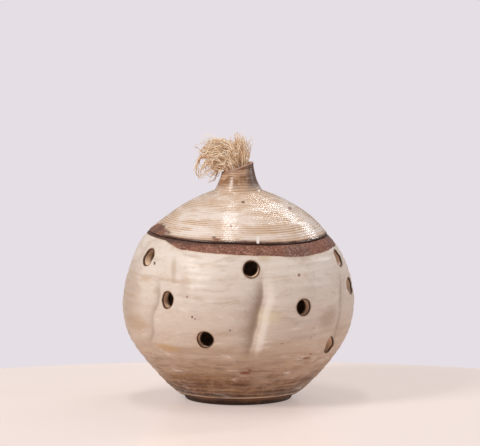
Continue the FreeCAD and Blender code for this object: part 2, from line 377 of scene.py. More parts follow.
def skin_grid(shell, place, columns, travels, cells, rings, outward, zone):
    """A skin of the pot as a grid with a round hole at each vent; returns its rows and vent rings."""
    gone = set()
    edges = []
    step = travels[1] - travels[0]
    inset = 0.0 if outward else POT_WALL
    for angle, height in VENTS:
        column = round(angle / 360 * columns - cells / 2)
        row = round((travel_at(height, inset) - travels[0]) / step - cells / 2)
        edges.append(vent_cells(column, row, cells))
        gone.update(((column + a) % columns, row + b) for a in range(cells) for b in range(cells))
    inside = {(c, r) for c, r in gone
              if {((c - 1) % columns, r), (c, r - 1), ((c - 1) % columns, r - 1)} <= gone}
    grid = []
    for row, travel in enumerate(travels):
        ring = []
        for column in range(columns):
            if (column, row) in inside:
                ring.append(None)
                continue
            angle = 360 * column / columns
            radius, height = place(angle, travel)
            level = height - wave_at(angle, height)
            ring.append(shell.add(polar(angle, radius, height), vent=FAR, zone=zone,
                                  band=level - glaze_line(angle), crease=crease(angle, height)))
        grid.append(ring)
    for row in range(len(travels) - 1):
        for column in range(columns):
            if (column, row) not in gone:
                after = (column + 1) % columns
                face = (grid[row][column], grid[row][after], grid[row + 1][after], grid[row + 1][column])
                shell.faces.append(face if outward else face[::-1])
    bores = []
    for vent, edge in zip(VENTS, edges):
        before = [grid[row][column % columns] for column, row in edge]
        for number, aimed in enumerate([rings[0]] + rings):
            reach = aimed if number else BLEND_REACH
            ring = []
            for corner, (column, row) in enumerate(edge):
                turn = math.radians(-135 + 360 * corner / len(edge))
                angle, travel = aim(place, inset, vent, aimed * math.cos(turn), aimed * math.sin(turn))
                if number == 0:
                    angle += turned_by(360 * column / columns, angle) * BLEND_SHARE
                    travel += (travels[row] - travel) * BLEND_SHARE
                radius, level = place(angle, travel, vent_sunk(reach, outward))
                ring.append(shell.add(polar(angle, radius, level), vent=reach, zone=zone, band=-FAR,
                                      crease=crease(angle, level)))
            shell.band(*((before, ring) if outward else (ring, before)))
            before = ring
        bores.append(before)
    return grid, bores


def chain(shell, before, columns, shapes, down=False, **values):
    """Bands from a ring on through rings of shapes; a shape gives radius and height at an angle."""
    for shape in shapes:
        ring = []
        for column in range(columns):
            angle = 360 * column / columns
            ring.append(shell.add(polar(angle, *shape(angle)), vent=FAR, **values))
        if len(before) == 2 * columns:
            shell.half_band(before, ring)
        else:
            shell.band(*((ring, before) if down else (before, ring)))
        before = ring
    return before


def flat(radius, height):
    """The shape of a plain ring."""
    return lambda angle: (radius, height)


def bend(first, corner, last, share):
    """A place on the smooth curve from first to last that bends at corner."""
    a, b, c = (1 - share) ** 2, 2 * share * (1 - share), share ** 2
    return first[0] * a + corner[0] * b + last[0] * c, first[1] * a + corner[1] * b + last[1] * c


def evenly(low, high, step):
    """Values from low to high, about a step apart."""
    count = round((high - low) / step)
    return [low + (high - low) * number / count for number in range(count + 1)]


OUTSIDE = 0.0
INSIDE = 1.0
BORE = 2.0
CLAY = 3.0


def join_bores(shell, outer_bores, inner_bores):
    """The wall of each vent, between its holes in the two skins."""
    for outside, inside in zip(outer_bores, inner_bores):
        before = outside
        for share in (0.1, 0.3, 0.6):
            ring = []
            for corner, place in enumerate(outside):
                first, second = inside[corner // 2], inside[(corner + 1) // 2 % len(inside)]
                end = shell.places[first].lerp(shell.places[second], 0.5)
                ring.append(shell.add(shell.places[place].lerp(end, share), vent=VENT_RADIUS - share,
                                      zone=BORE, band=-FAR))
            shell.band(before, ring)
            before = ring
        shell.half_band(before, inside)


def make_pot(material):
    shell = Shell("glazed_pot", ("vent", "zone", "band", "crease"))
    low = travel_at(FOOT_TOP, 0.0)
    rim = travel_at(POT_TOP, 0.0)
    high = rim - RIM_ROUND
    rows = evenly(low, high, ROW)
    outer, outer_bores = skin_grid(shell, outer_place, COLUMNS, rows, VENT_CELLS, VENT_RINGS, True, OUTSIDE)
    inner_low = travel_at(POT_FLOOR + 1.2, POT_WALL)
    inner_rim = travel_at(POT_TOP, POT_WALL)
    inner_high = inner_rim - RIM_ROUND
    rows = evenly(inner_low, inner_high, INNER_ROW)
    inner, inner_bores = skin_grid(shell, inner_place, INNER_COLUMNS, rows, VENT_CELLS // 2,
                                   VENT_RINGS[2::2], False, INSIDE)
    join_bores(shell, outer_bores, inner_bores)

    def outer_corner(share):
        def shape(angle):
            corner = outer_place(angle, rim)
            return bend(outer_place(angle, high), corner, (corner[0] - RIM_ROUND, corner[1]), share)
        return shape

    def inner_corner(share):
        def shape(angle):
            radius = inner_place(angle, inner_rim)[0]
            level = outer_place(angle, rim)[1]
            return bend((radius + RIM_ROUND, level), (radius, level), inner_place(angle, inner_high), share)
        return shape

    top = chain(shell, outer[-1], COLUMNS, map(outer_corner, (0.25, 0.5, 0.75, 1.0)), zone=CLAY, band=FAR)
    top = chain(shell, top, INNER_COLUMNS, map(inner_corner, (0.0, 0.35, 0.7)), zone=CLAY, band=FAR)
    shell.band(top, inner[-1])

    edge = outline(inner_low, POT_WALL)[0]
    base = edge - 5.0
    floor = [flat(edge - 2.0, POT_FLOOR + 0.35), flat(base, POT_FLOOR)]
    floor += [flat(base * share, POT_FLOOR + 0.3 * (1 - share)) for share in (0.75, 0.5, 0.25, 0.08)]
    before = chain(shell, inner[0], INNER_COLUMNS, floor, zone=INSIDE, band=-FAR)
    shell.fan(before, shell.add(Vector((0, 0, POT_FLOOR + 0.3)), vent=FAR, zone=INSIDE, band=-FAR))

    edge = outline(low, 0.0)[0]
    hollow = FOOT_RADIUS - FOOT_RING
    foot = [(edge - 1.2, FOOT_TOP - 1.0), (edge - 2.6, FOOT_TOP - 1.9), (FOOT_RADIUS + 1.2, FOOT_TOP - 2.6),
            (FOOT_RADIUS + 0.6, FOOT_TOP - 3.4), (FOOT_RADIUS + 0.3, 1.3), (FOOT_RADIUS, 0.5),
            (FOOT_RADIUS - 0.5, 0.0), (FOOT_RADIUS - 0.6 * FOOT_RING, 0.0), (hollow + 0.4, 0.0),
            (hollow, 0.4), (hollow - 0.3, FOOT_RECESS - 0.3), (hollow - 0.8, FOOT_RECESS)]
    foot += [(hollow * share, FOOT_RECESS) for share in (0.75, 0.5, 0.25, 0.05)]
    shapes = [flat(*place) for place in foot]
    before = chain(shell, outer[0], COLUMNS, shapes, down=True, zone=CLAY, band=-FAR)
    shell.fan(before[::-1], shell.add(Vector((0, 0, FOOT_RECESS)), vent=FAR, zone=CLAY, band=-FAR))
    return shell.finish(material)


# Lid

def arc_middle(first, second, curve):
    across = (second[0] - first[0], second[1] - first[1])
    chord = math.hypot(*across)
    away = math.sqrt(curve ** 2 - chord ** 2 / 4) / chord
    return (first[0] + second[0]) / 2 - across[1] * away, (first[1] + second[1]) / 2 + across[0] * away


DOME_MIDDLE = arc_middle((LID_RADIUS, LID_SEAT), (SHOULDER_RADIUS, SHOULDER_HEIGHT), DOME_CURVE)


def dome_height(radius, inset):
    return DOME_MIDDLE[1] + math.sqrt((DOME_CURVE - inset) ** 2 - (radius - DOME_MIDDLE[0]) ** 2)


def neck_top(angle, radius):
    return NECK_MIDDLE + NECK_SLOPE * radius * math.sin(math.radians(angle))


LID_COLUMNS = 256
DOME_ROW = 0.32
NECK_ROWS = 34
RIDGE = 0.022
COARSE_RIDGE = 0.03
BARE_PATCH = (-73, 19, 94.8, 5.0)


def lid_relief(angle, height, travel):
    """Turning lines in a spiral round the dome, with a slightly uneven dome under them."""
    wander = 0.35 * noise.noise(polar(angle, 1.3, height / 9))
    phase = travel / THROWING_PITCH - angle / 360 + wander
    ridge = math.cos(2 * math.pi * phase)
    strength = 0.5 + 0.8 * abs(noise.noise(polar(angle, 2.1, height / 5 + 40)))
    out = RIDGE * strength * ridge + COARSE_RIDGE * math.cos(2 * math.pi * phase / 4 + 1)
    out += 0.3 * noise.noise(polar(angle, 1.6, height / 26 + 5))
    return out, 0.5 - 0.5 * ridge


def lid_ring(shell, shape, bare=False):
    """A ring of the lid; shape gives radius, height, groove and distance under the lip at an angle."""
    ring = []
    side, wide, level, tall = BARE_PATCH
    for column in range(LID_COLUMNS):
        angle = 360 * column / LID_COLUMNS
        radius, height, groove, lip = shape(angle)
        wave = seam_wave(angle) * ease((103 - height) / 9)
        away = math.hypot(turned_by(angle, side) / wide, (height - level) / tall)
        away += 0.35 * noise.noise(Vector((angle / 5, height / 1.5, 2.0)))
        ring.append(shell.add(polar(angle, radius, height + wave), groove=groove, edge=height - LID_SEAT,
                              bare=1.0 if bare else 1 - ease((away - 0.75) / 0.5), lip=lip))
    return ring


def make_lid(material):
    shell = Shell("glazed_lid", ("groove", "edge", "bare", "lip"))
    tilt_start = math.atan2(LID_SEAT + 0.9 - DOME_MIDDLE[1], LID_RADIUS - 0.35 - DOME_MIDDLE[0])
    tilt_end = math.atan2(SHOULDER_HEIGHT - DOME_MIDDLE[1], SHOULDER_RADIUS - DOME_MIDDLE[0])
    dome_length = DOME_CURVE * (tilt_end - tilt_start)
    rows = round(dome_length / DOME_ROW)
    rise = NECK_MIDDLE - SHOULDER_HEIGHT + NECK_RADIUS * NECK_SLOPE
    flare = ((SHOULDER_RADIUS - NECK_RADIUS) ** 2 + rise ** 2) / (2 * (SHOULDER_RADIUS - NECK_RADIUS))

    def dome(row):
        tilt = tilt_start + (tilt_end - tilt_start) * row / rows

        def shape(angle):
            height = DOME_MIDDLE[1] + DOME_CURVE * math.sin(tilt)
            out, groove = lid_relief(angle, height, DOME_CURVE * (tilt - tilt_start))
            out *= ease(row / 6)
            radius = DOME_MIDDLE[0] + (DOME_CURVE + out) * math.cos(tilt)
            return radius, height + out * math.sin(tilt), groove, FAR
        return shape

    def neck(row):
        def shape(angle):
            top = neck_top(angle, NECK_RADIUS)
            height = SHOULDER_HEIGHT + (top - 0.5 - SHOULDER_HEIGHT) * row / NECK_ROWS
            down = SHOULDER_HEIGHT + rise - height
            radius = NECK_RADIUS + flare - math.sqrt(max(flare ** 2 - down ** 2, 0))
            out, groove = lid_relief(angle, height, dome_length + height - SHOULDER_HEIGHT)
            out += 0.25 * noise.noise(Vector((angle / 40, height / 6, 7.0)))
            return radius + out * 0.8, height, groove, top - height
        return shape

    def lip(radius, drop):
        def shape(angle):
            rough = 0.22 * noise.noise(polar(180 - angle, 3, radius))
            return radius, neck_top(angle, radius) - drop + rough, 0.0, drop
        return shape

    def bore(share):
        radius = inner + (BORE_RADIUS - inner) * share
        low = dome_height(BORE_RADIUS, LID_WALL)

        def shape(angle):
            top = neck_top(angle, radius) - 0.9
            return radius, top + (low - top) * share, 0.0, 1 + 10 * share
        return shape

    def plain(radius, height):
        return lambda angle: (radius, height, 0.0, FAR)

    inner = NECK_RADIUS - NECK_WALL
    hollow = FLANGE_RADIUS - FLANGE_WALL
    low = LID_SEAT - FLANGE_DEPTH
    under = [BORE_RADIUS + (hollow - BORE_RADIUS) * number / 12 for number in range(1, 13)]
    rings = [lid_ring(shell, dome(row)) for row in range(rows)]
    rings += [lid_ring(shell, neck(row)) for row in range(NECK_ROWS + 1)]
    for radius, drop in ((NECK_RADIUS - 0.22, 0.12), (NECK_RADIUS - 0.55, 0.0), (inner + 0.5, 0.0),
                         (inner + 0.15, 0.25)):
        rings.append(lid_ring(shell, lip(radius, drop), bare=True))
    rings += [lid_ring(shell, bore(share)) for share in (0.0, 0.15, 0.3, 0.5, 0.75, 1.0)]
    rings += [lid_ring(shell, plain(radius, dome_height(radius, LID_WALL))) for radius in under]
    for radius, height in ((hollow + 0.1, LID_SEAT + 1.5), (hollow + 0.2, LID_SEAT - 2.0),
                           (hollow + 0.3, low + 0.8), (hollow + 1.0, low), (FLANGE_RADIUS - 1.0, low),
                           (FLANGE_RADIUS, low + 0.9), (FLANGE_RADIUS, LID_SEAT - 0.8),
                           (FLANGE_RADIUS + 0.7, LID_SEAT), (LID_RADIUS - 2.5, LID_SEAT),
                           (LID_RADIUS - 1.4, LID_SEAT), (LID_RADIUS - 0.7, LID_SEAT + 0.3)):
        rings.append(lid_ring(shell, plain(radius, height), bare=True))
    for first, second in zip(rings, rings[1:] + rings[:1]):
        shell.band(first, second)
    return shell.finish(material)


# Materials

class Value:
    """One socket in a node tree. Sums, differences and products on it add Math nodes."""

    def __init__(self, nodes, socket):
        self.nodes = nodes
        self.socket = socket

    def maths(self, operation, first, second):
        return self.nodes.add("ShaderNodeMath", {"operation": operation}, {0: first, 1: second})

    def __add__(self, other):
        return self.maths("ADD", self, other)

    def __sub__(self, other):
        return self.maths("SUBTRACT", self, other)

    def __rsub__(self, other):
        return self.maths("SUBTRACT", other, self)

    def __mul__(self, other):
        return self.maths("MULTIPLY", self, other)

    __radd__ = __add__
    __rmul__ = __mul__


class Nodes:
    """A node tree in the making."""

    def __init__(self, tree):
        self.tree = tree
        tree.nodes.clear()

    def add(self, kind, settings, sockets, out=0):
        """A node of a type, its settings set first, then its sockets to values or links."""
        node = self.tree.nodes.new(kind)
        for name, setting in settings.items():
            if name == "stops":
                set_stops(node.color_ramp, setting)
            else:
                setattr(node, name, setting)
        for name, value in sockets.items():
            if isinstance(value, Value):
                self.tree.links.new(value.socket, node.inputs[name])
            else:
                node.inputs[name].default_value = value
        return Value(self, node.outputs[out]) if node.outputs else None


def set_stops(ramp, stops):
    while len(ramp.elements) < len(stops):
        ramp.elements.new(1.0)
    for element, (position, colour) in zip(ramp.elements, stops):
        element.position = position
        element.color = colour


class Paint(Nodes):
    """A material in the making. What is laid on goes over the colour so far."""

    def __init__(self, name):
        self.material = bpy.data.materials.new(name)
        self.material.use_nodes = True
        super().__init__(self.material.node_tree)
        self.place = self.add("ShaderNodeTexCoord", {}, {}, "Object")
        self.colour = None

    def side(self, axis):
        return self.add("ShaderNodeSeparateXYZ", {}, {0: self.place}, axis)

    def known(self, name):
        """The value stored at each place of the mesh under a name."""
        return self.add("ShaderNodeAttribute", {"attribute_name": name}, {}, "Fac")

    def between(self, value, low, high, start, end):
        """start where value is low, end where it is high, smooth between them."""
        return self.add("ShaderNodeMapRange", {"interpolation_type": "SMOOTHSTEP"},
                        {"Value": value, "From Min": low, "From Max": high,
                         "To Min": start, "To Max": end})

    def over(self, value, low, high):
        return self.between(value, low, high, 0.0, 1.0)

    def under(self, value, low, high):
        return self.between(value, low, high, 1.0, 0.0)

    def within(self, value, low, high, fade):
        return self.over(value, low, low + fade) * self.under(value, high - fade, high)

    def stretched(self, scale, shift=(0, 0, 0)):
        return self.add("ShaderNodeMapping", {}, {"Vector": self.place, "Scale": scale, "Location": shift})

    def cloud(self, scale, detail=3.0, roughness=0.55, vector=None, distortion=0.0):
        sockets = {"Vector": vector or self.place, "Scale": scale, "Detail": detail, "Roughness": roughness,
                   "Distortion": distortion}
        return self.add("ShaderNodeTexNoise", {}, sockets)

    def cells(self, feature, scale, vector):
        sockets = {"Vector": vector, "Scale": scale}
        return self.add("ShaderNodeTexVoronoi", {"feature": feature}, sockets, "Distance")

    def ramp(self, value, stops):
        return self.add("ShaderNodeValToRGB", {"stops": stops}, {"Fac": value})

    def blend(self, share, first, second):
        """Colour first where share is 0, second where it is 1."""
        return self.add("ShaderNodeMix", {"data_type": "RGBA"}, {0: share, 6: first, 7: second}, 2)

    def lay(self, share, colour):
        self.colour = self.blend(share, self.colour, colour)

    def lay_marks(self, marks, soft, rough, even_share=1.0):
        """Small marks: place and half-width each way in millimetres, colour, and share if it has its own."""
        for place, size, colour, *own_share in marks:
            share = own_share[0] if own_share else even_share
            scale = tuple(1 / (half * MM) for half in size)
            shift = tuple(-middle / half for middle, half in zip(place, size))
            moved = self.stretched(scale, shift)
            away = self.add("ShaderNodeVectorMath", {"operation": "LENGTH"}, {0: moved}, "Value")
            self.lay(self.under(away + rough, 1.0 - soft, 1.0 + soft) * share, colour)

    def bump(self, strength, depth, height):
        sockets = {"Strength": strength, "Distance": depth * MM, "Height": height}
        return self.add("ShaderNodeBump", {}, sockets)

    def surface(self, sockets):
        shader = self.add("ShaderNodeBsdfPrincipled", {}, {"Base Color": self.colour, **sockets})
        self.add("ShaderNodeOutputMaterial", {}, {"Surface": shader})
        return self.material


def srgb(red, green, blue):
    """A colour given as it looks on a screen, 0 to 255, as the light values that a material takes."""
    parts = [part / 255 for part in (red, green, blue)]
    return (*(part / 12.92 if part <= 0.04045 else ((part + 0.055) / 1.055) ** 2.4 for part in parts), 1.0)


def dimmed(colour, share):
    return (*(part * share for part in colour[:3]), 1.0)


GLAZE_PALE = srgb(226, 211, 199)
GLAZE_WARM = srgb(214, 190, 170)
GLAZE_GREY = srgb(194, 174, 162)
OCHRE = srgb(190, 152, 108)
TOAST = srgb(140, 98, 66)
RUST = srgb(128, 66, 36)
BURNT = srgb(66, 38, 24)
# Painted shade for the bottom of the foot
FOOT_SHADE = srgb(36, 21, 14)

# Glaze of the pot by height in tenths of a metre: toasted just above the foot, pale from the belly up

POT_GLAZE = [(0.045, srgb(58, 34, 20)), (0.07, srgb(76, 44, 23)), (0.10, srgb(96, 58, 30)),
             (0.15, srgb(138, 97, 61)), (0.20, srgb(164, 130, 102)), (0.27, srgb(176, 146, 122)),
             (0.36, srgb(192, 166, 146)), (0.46, srgb(207, 187, 172)), (0.6, srgb(217, 200, 187)),
             (0.8, GLAZE_PALE)]

# Small marks: place, half-width each way, colour; on the patches and the lid also the share

POT_MARKS = [
    ((3.7, -51.9, 21.7), (3.4, 6.0, 1.0), RUST), ((6.4, -51.7, 23.4), (1.3, 4.0, 0.6), RUST),
    ((-25.4, -60.0, 54.1), (0.55, 3.0, 0.7), BURNT), ((-23.8, -60.7, 53.1), (0.45, 3.0, 0.45), RUST),
    ((-4.5, -64.5, 46.9), (0.5, 3.0, 0.6), BURNT), ((-28.2, -57.7, 64.9), (0.6, 3.0, 0.6), RUST),
    ((33.5, -51.0, 76.2), (0.8, 3.0, 0.9), RUST), ((37.6, -43.3, 28.8), (2.4, 4.0, 0.7), RUST),
    ((40.0, -45.0, 31.0), (1.0, 4.0, 0.6), RUST), ((-46.5, -36.0, 80.8), (0.6, 3.0, 0.9), BURNT),
    ((24.0, -54.0, 39.0), (1.3, 5.0, 0.6), TOAST), ((52.0, 38.0, 60.0), (0.6, 3.0, 0.8), RUST),
    ((-50.0, 40.0, 66.0), (0.8, 3.0, 0.6), BURNT), ((8.0, 64.0, 48.0), (0.7, 3.0, 0.7), RUST),
]
POT_PATCHES = [
    ((16.4, -63.1, 54.0), (7.0, 8.0, 4.0), srgb(216, 196, 160), 0.5),
    ((-35.5, -46.0, 79.0), (1.6, 6.0, 5.5), srgb(178, 150, 122), 0.5),
    ((-38.4, -46.1, 35.0), (9.0, 9.0, 2.2), OCHRE, 0.75),
    ((14.0, -50.0, 85.5), (4.0, 6.0, 2.2), srgb(200, 176, 130), 0.6),
    ((-57.0, -27.0, 46.0), (7.0, 14.0, 5.0), srgb(182, 150, 118), 0.6),
    ((-60.0, -20.0, 62.0), (6.0, 16.0, 16.0), srgb(184, 156, 134), 0.55),
    # painted shade on the right flank, below the side highlight
    ((51.0, -38.0, 50.0), (9.0, 9.0, 6.0), srgb(166, 138, 118), 0.6),
    ((-29.0, -53.0, 71.0), (3.0, 8.0, 8.0), srgb(196, 172, 152), 0.5),
]
LID_MARKS = [
    ((2.6, -23.1, 113.5), (0.9, 3.0, 0.6), BURNT, 0.9), ((-4.0, -41.1, 102.2), (0.8, 3.0, 0.6), RUST, 0.8),
    ((-12.0, -47.5, 95.6), (2.6, 4.0, 0.5), RUST, 0.9), ((-13.5, -47.5, 96.6), (1.3, 4.0, 0.5), BURNT, 0.8),
    ((29.0, -14.0, 109.0), (1.4, 3.0, 0.8), RUST, 0.7), ((27.0, 22.0, 106.0), (0.8, 3.0, 0.6), BURNT, 0.8),
]
LID_DRIP = [((10.9, -47.6, 95.6), (0.9, 4.0, 2.6), srgb(240, 228, 218))]


def pot_glaze():
    paint = Paint("glazed_stoneware_finish")
    height = paint.side("Z")
    streaks = paint.cloud(34.0, 5.0, 0.62, paint.stretched((1.0, 1.0, 5.5)))
    fine_streaks = paint.cloud(150.0, 4.0, 0.6, paint.stretched((0.5, 0.5, 4.0)))
    clouds = paint.cloud(28.0, 4.0, 0.6)
    mottle = paint.cloud(190.0, 4.0, 0.65)
    grain = paint.cloud(900.0, 2.0, 0.5)
    wisps = paint.cloud(64.0, 5.0, 0.72, paint.stretched((0.7, 0.7, 2.8), (0.4, 0.1, 0.3)), 0.5)
    gathered = paint.cloud(44.0, 3.0, 0.6, paint.stretched((1, 1, 1.6), (0.7, 0.2, 0.9)))
    uneven = mottle - 0.5

    run = height + (streaks - 0.5) * 0.030 + (fine_streaks - 0.5) * 0.006
    paint.colour = paint.ramp(run * (1 / (100 * MM)), POT_GLAZE)
    paint.lay(paint.over(clouds, 0.52, 0.72) * 0.55, GLAZE_GREY)
    paint.lay(paint.over(streaks, 0.56, 0.74) * 0.55, OCHRE)
    paint.lay(paint.over(mottle, 0.50, 0.70) * 0.35, GLAZE_WARM)
    paint.lay(paint.over(wisps, 0.50, 0.70) * 0.55, srgb(186, 160, 138))
    paint.lay(paint.under(wisps, 0.30, 0.44) * 0.5, srgb(236, 225, 216))
    cracks = paint.cells("DISTANCE_TO_EDGE", 165.0, paint.stretched((1.0, 1.0, 1.4), (0.1, 0.3, 0.2)))
    cracked = paint.under(cracks + uneven * 0.05, 0.012, 0.04)
    paint.lay(cracked * paint.over(clouds, 0.48, 0.64) * 0.22, srgb(180, 150, 124))
    freckles = paint.over(paint.cloud(460.0, 3.0, 0.6), 0.64, 0.70)
    paint.lay(freckles * paint.over(gathered, 0.52, 0.64) * 0.8, srgb(150, 98, 58))
    toasted = paint.under(height, 0.014, 0.042)
    paint.lay(toasted * paint.over(fine_streaks, 0.48, 0.66) * 0.55, BURNT)
    paint.lay(toasted * paint.over(mottle, 0.56, 0.68) * 0.4, RUST)
    wavy = (height + (clouds - 0.5) * 0.004) * 2600.0
    turned = paint.add("ShaderNodeMath", {"operation": "SINE"}, {0: wavy})
    rings = paint.over(turned + uneven * 2.0, 0.0, 1.0) * paint.under(height, 0.009, 0.020)
    paint.lay(rings * 0.5, srgb(172, 128, 86))
    paint.lay_marks(POT_MARKS, 0.4, uneven * 1.2, 0.85)
    paint.lay_marks(POT_PATCHES, 0.6, uneven * 0.72)
    specks = paint.under(paint.cells("F1", 210.0, paint.stretched((1, 1, 1), (0.3, 0.1, 0.7))), 0.03, 0.08)
    paint.lay(specks * paint.over(paint.cloud(60.0, 1.0, 0.5), 0.50, 0.62) * 0.5, TOAST)

    vent = paint.known("vent")
    ragged = vent + uneven * 0.5
    paint.lay(paint.under(ragged, 4.9, 6.0) * 0.45, srgb(186, 150, 112))
    # Painted shade along the bottom of sharp valleys, and a painted highlight on their right flanks.
    valley_shade_and_highlight = paint.known("crease") + uneven * 0.5
    paint.lay(paint.over(valley_shade_and_highlight, 0.10, 0.9) * 0.75, srgb(140, 112, 92))
    paint.lay(paint.under(valley_shade_and_highlight, -0.8, -0.05) * 0.6, srgb(238, 225, 214))
    band = paint.known("band") + (paint.cloud(120.0, 4.0, 0.6) - 0.5) * 1.1
    paint.lay(paint.over(band, -0.9, -0.1) * 0.4, OCHRE)
    zone = paint.known("zone")
    paint.lay(paint.within(zone, INSIDE - 0.6, INSIDE + 0.6, 0.2) * 0.5, srgb(196, 170, 148))
    paint.lay(paint.within(zone, BORE - 0.5, BORE + 0.5, 0.4) * 0.9, srgb(252, 216, 184))
    ring = paint.over(vent, VENT_RADIUS - 0.14, VENT_RADIUS - 0.05) * paint.under(ragged, 4.8, 5.05)
    paint.lay(ring * 0.95, srgb(70, 36, 18))

    clay = paint.blend(paint.over(clouds, 0.40, 0.60), srgb(142, 92, 72), srgb(120, 90, 80))
    clay = paint.blend(paint.over(mottle, 0.45, 0.62) * 0.7, clay, srgb(104, 64, 50))
    clay = paint.blend(paint.over(grain, 0.54, 0.66) * 0.6, clay, srgb(186, 142, 124))
    clay = paint.blend(paint.under(grain, 0.34, 0.44) * 0.5, clay, srgb(84, 50, 40))
    low_clay = paint.blend(paint.over(fine_streaks, 0.40, 0.60), srgb(74, 44, 26), srgb(112, 74, 46))
    clay = paint.blend(paint.under(height, 0.008, 0.014), clay, low_clay)
    # Painted shade: the top of the bare band is darkened where it meets the lid's edge.
    rim = paint.over(height, (POT_TOP - 2.1) * MM, (POT_TOP - 0.4) * MM)
    clay = paint.blend(rim * 0.7, clay, srgb(74, 50, 40))
    # Painted shade: the bottom of the foot in near black, where it stands in shadow.
    clay = paint.blend(paint.under(height + uneven * 0.003, 0.0008, 0.0034), clay, FOOT_SHADE)
    bare = paint.over(band, -0.12, 0.18)
    bare += paint.over(zone, CLAY - 0.5, CLAY - 0.1) * paint.between(height, 0.002, 0.006, 0.85, 1.0)
    bare = bare.maths("MINIMUM", bare, 1.0)
    paint.lay(bare, clay)

    shine = 0.36 + paint.over(mottle, 0.4, 0.7) * 0.20 + toasted * 0.10
    lumps = paint.cloud(120.0, 3.0, 0.55, paint.stretched((0.8, 0.8, 2.2)))
    level = lumps * (1 - bare) + grain * bare * 0.8 + paint.cloud(480.0, 3.0, 0.5) * 0.12
    return paint.surface({"Roughness": shine * (1 - bare) + bare * 0.78,
                          "Normal": paint.bump(0.35, 0.9, level), "Specular IOR Level": 0.36})


def lid_glaze():
    paint = Paint("glazed_lid_finish")
    height = paint.side("Z")
    clouds = paint.cloud(32.0, 4.0, 0.6)
    mottle = paint.cloud(170.0, 4.0, 0.65)
    streaks = paint.cloud(46.0, 4.0, 0.6, paint.stretched((1.0, 1.0, 5.0), (0.2, 0.4, 0.0)))
    grain = paint.cloud(900.0, 2.0, 0.5)
    uneven = mottle - 0.5
    groove = paint.known("groove")
    edge = paint.known("edge")
    bare = paint.known("bare")

    paint.colour = srgb(236, 220, 209)
    paint.lay(paint.over(clouds, 0.45, 0.7) * 0.6, srgb(226, 203, 186))
    paint.lay(paint.over(streaks + clouds * 0.4, 0.55, 0.86) * 0.5, srgb(204, 166, 124))
    lines = paint.over(groove + uneven * 0.7, 0.5, 0.85)
    paint.lay(lines * paint.between(streaks, 0.38, 0.60, 0.12, 0.85), srgb(176, 130, 88))
    paint.lay(paint.over(mottle, 0.5, 0.7) * 0.25, srgb(236, 224, 216))
    paint.lay(paint.under(edge + uneven * 1.2, 0.7, 3.4) * 0.55, srgb(176, 128, 90))
    paint.lay(paint.under(edge + (streaks - 0.5) * 2.6, 1.1, 2.1) * 0.85, srgb(98, 58, 38))
    # Painted shade: a near-black, wavy line along the lid's lowest edge for the shadowed seam.
    paint.lay(paint.under(edge + uneven * 1.6, 0.75, 1.25) * 0.95, srgb(30, 18, 14))

    neck = paint.over(height + uneven * 0.004 + (clouds - 0.5) * 0.006, 0.1165, 0.1235)
    brown = paint.blend(paint.over(uneven + streaks, 0.42, 0.62), srgb(152, 110, 78), srgb(204, 166, 136))
    brown = paint.blend(paint.over(groove + uneven, 0.4, 0.9) * 0.4, brown, srgb(112, 74, 50))
    # Painted shade on the right side of the neck.
    brown = paint.blend(paint.over(paint.side("X"), 0.0030, 0.0080) * 0.8, brown, srgb(80, 52, 38))
    brown = paint.blend(paint.under(paint.known("lip"), 0.3, 2.6) * 0.6, brown, srgb(112, 74, 58))
    paint.lay(neck, brown)
    flush = paint.over(height + (clouds - 0.5) * 0.01, 0.110, 0.118) * (1 - neck)
    paint.lay(flush * paint.over(mottle, 0.45, 0.62) * 0.45, srgb(186, 142, 100))
    paint.lay_marks(LID_MARKS, 0.4, uneven * 1.2)
    paint.lay_marks(LID_DRIP, 0.3, uneven * 0.48)

    clay = paint.blend(paint.over(mottle, 0.42, 0.62), srgb(126, 84, 66), srgb(100, 68, 56))
    clay = paint.blend(paint.over(grain, 0.55, 0.72) * 0.4, clay, srgb(176, 136, 120))
    clay = paint.blend(paint.over(height, 0.119, 0.125) * 0.75, clay, srgb(206, 160, 144))
    paint.lay(bare, clay)

    shine = 0.20 + paint.over(mottle, 0.4, 0.7) * 0.16 + neck * 0.08
    level = paint.cloud(150.0, 3.0, 0.55) + paint.cloud(480.0, 3.0, 0.5) * 0.15 - groove * 0.12
    return paint.surface({"Roughness": shine * (1 - bare) + bare * 0.75,
                          "Normal": paint.bump(0.35, 0.8, level), "Specular IOR Level": 0.5})


def fibre_finish():
    paint = Paint("plant_fibre_finish")
    tint = paint.cloud(260.0, 3.0, 0.6)
    tans = [(0.0, srgb(204, 166, 128)), (0.35, srgb(230, 200, 166)), (0.7, srgb(246, 224, 196)),
            (1.0, srgb(252, 242, 224))]
    paint.colour = paint.ramp(paint.known("strand"), tans)
    paint.lay(paint.over(tint, 0.5, 0.7) * 0.3, srgb(200, 150, 104))
    paint.lay(paint.under(paint.known("share"), 0.0, 0.35) * 0.25, srgb(150, 104, 66))
    fuzz = paint.bump(0.3, 0.2, paint.cloud(1800.0, 2.0))
    # Painted light: a faint glow in the fibre's own colour lightens its shaded parts.
    return paint.surface({"Roughness": 0.48 + tint * 0.2, "Normal": fuzz, "Emission Color": paint.colour,
                          "Emission Strength": 0.06})


def glue_finish():
    paint = Paint("glue_finish")
    clouds = paint.cloud(300.0, 3.0, 0.6)
    paint.colour = paint.blend(paint.over(clouds, 0.4, 0.65), srgb(196, 160, 104), srgb(168, 128, 78))
    return paint.surface({"Roughness": 0.35 + clouds * 0.2, "Normal": paint.bump(0.5, 0.6, clouds)})


def floor_finish():
    """A pale, faintly clouded table that glows a little, as a lit room does."""
    paint = Paint("floor_finish")
    pale = srgb(240, 224, 217)
    dull = dimmed(pale, 0.74)
    paint.colour = paint.blend(paint.over(paint.cloud(9.0, 2.0), 0.3, 0.7) * 0.25, dull, dimmed(dull, 0.93))
    return paint.surface({"Roughness": 0.24, "Emission Color": pale, "Emission Strength": 0.40})


# Tuft: locks of fibre, each a count of strands, places down the lock, and how messy it is. A place is
# (x, height over the neck's middle, spread).

